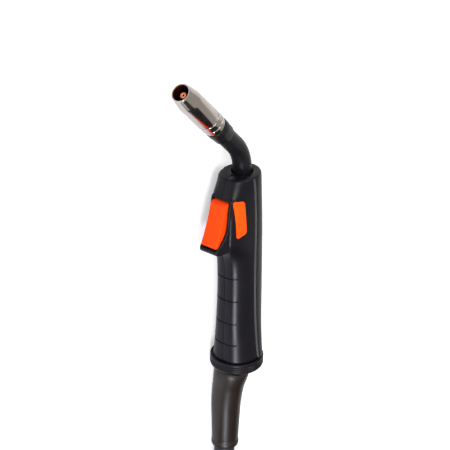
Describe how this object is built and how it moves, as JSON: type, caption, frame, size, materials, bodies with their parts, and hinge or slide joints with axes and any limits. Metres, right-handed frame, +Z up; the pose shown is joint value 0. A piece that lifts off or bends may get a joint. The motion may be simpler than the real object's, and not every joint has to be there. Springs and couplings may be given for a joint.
{
  "type": "mig welding torch",
  "caption": "Gooseneck MIG welding torch: two-shell handle with trigger, swan neck, gas nozzle, ball-jointed cable sleeve, and a coiled cable with a central plug.",
  "frame": {"origin": "on the bench, under the middle of the torch's box without its cable and plug", "axes": "+Z up from the bench; the torch lies on its right shell with its neck towards -X, its trigger towards -Y, and its cable towards +X"},
  "size_m": [0.6073, 0.2247, 0.047],
  "materials": {
    "black_plastic": "moulded glass-filled nylon, satin",
    "orange_plastic": "moulded nylon, smooth",
    "red_plastic": "moulded or extruded, smooth",
    "black_rubber": "satin",
    "nickel": "bright nickel plate",
    "copper": "turned copper",
    "brass": "turned",
    "steel": "zinc plated or spring wire"
  },
  "bodies": {
    "cable_side": {"bend_sleeve": "black_rubber", "cable_lead": "black_rubber", "cable": "black_rubber", "cable_coil": "black_rubber", "coil_tie": "black_rubber", "cable_end": "black_rubber", "plug_sleeve": "black_rubber", "plug_housing_upper": "black_plastic", "plug_housing_lower": "black_plastic", "plug_screw_1": "steel", "plug_screw_2": "steel", "plug_flange": "black_plastic", "plug_spigot": "brass", "spigot_o_ring": "black_rubber", "liner_nut": "brass", "plug_lead": "black_rubber"},
    "knuckle": {"knuckle_ball": "black_plastic"},
    "handle": {"handle_shell_left": "black_plastic", "handle_shell_right": "black_plastic", "badge_plate": "orange_plastic", "shell_screw_1": "steel", "shell_screw_2": "steel", "shell_screw_3": "steel", "shell_screw_4": "steel", "collar_ring": "black_plastic", "trigger_pin": "steel", "trigger_spring": "steel", "switch_body": "black_plastic", "switch_lead_a": "red_plastic", "switch_lead_b": "red_plastic", "neck_core": "copper", "neck_sleeve": "black_rubber", "liner": "steel", "neck_insulator": "black_rubber", "nozzle_spring": "steel", "tip_holder": "brass", "contact_tip": "copper", "neck_socket": "brass", "cable_nut": "brass", "crimp_ferrule": "brass", "cable_stub": "black_rubber"},
    "trigger": {"trigger": "orange_plastic"},
    "button": {"switch_button": "red_plastic"},
    "nozzle": {"gas_nozzle": "nickel"},
    "nut": {"plug_nut": "black_plastic"},
    "pin_1": {"contact_pin_1": "brass"},
    "pin_2": {"contact_pin_2": "brass"}
  },
  "joints": [
    {"name": "cable_turn", "type": "hinge", "parent": "cable_side", "child": "knuckle", "pos_m": [0.08094, 0.02829, 0.0202], "axis": [-0.9613, 0, 0.2756], "range_deg": [-90, 90]},
    {"name": "handle_tilt", "type": "hinge", "parent": "knuckle", "child": "handle", "pos_m": [0.08094, 0.02829, 0.0202], "axis": [0, 1, 0], "range_deg": [0, 32]},
    {"name": "trigger_press", "type": "hinge", "parent": "handle", "child": "trigger", "pos_m": [-0.05556, 0.00809, 0.0202], "axis": [0, 0, 1], "range_deg": [0, 4.5], "stiffness_Nm_per_rad": 0.5, "springref_deg": -5.73, "deforming": ["trigger_spring"]},
    {"name": "button_press", "type": "slide", "parent": "handle", "child": "button", "axis": [0, 1, 0], "range_m": [0, 0.00095]},
    {"name": "nozzle_pull", "type": "slide", "parent": "handle", "child": "nozzle", "axis": [-0.7009, -0.7133, 0], "range_m": [0, 0.06]},
    {"name": "nut_turn", "type": "hinge", "parent": "cable_side", "child": "nut", "pos_m": [0.41994, -0.00571, 0.0235], "axis": [0, -1, 0], "continuous": true},
    {"name": "pin_1_press", "type": "slide", "parent": "cable_side", "child": "pin_1", "axis": [0, 1, 0], "range_m": [0, 0.003], "stiffness_N_per_m": 400},
    {"name": "pin_2_press", "type": "slide", "parent": "cable_side", "child": "pin_2", "axis": [0, 1, 0], "range_m": [0, 0.003], "stiffness_N_per_m": 400}
  ],
  "couplings": [
    {"joint": "button_press", "follows": "trigger_press", "m_per_rad": 0.0105}
  ]
}
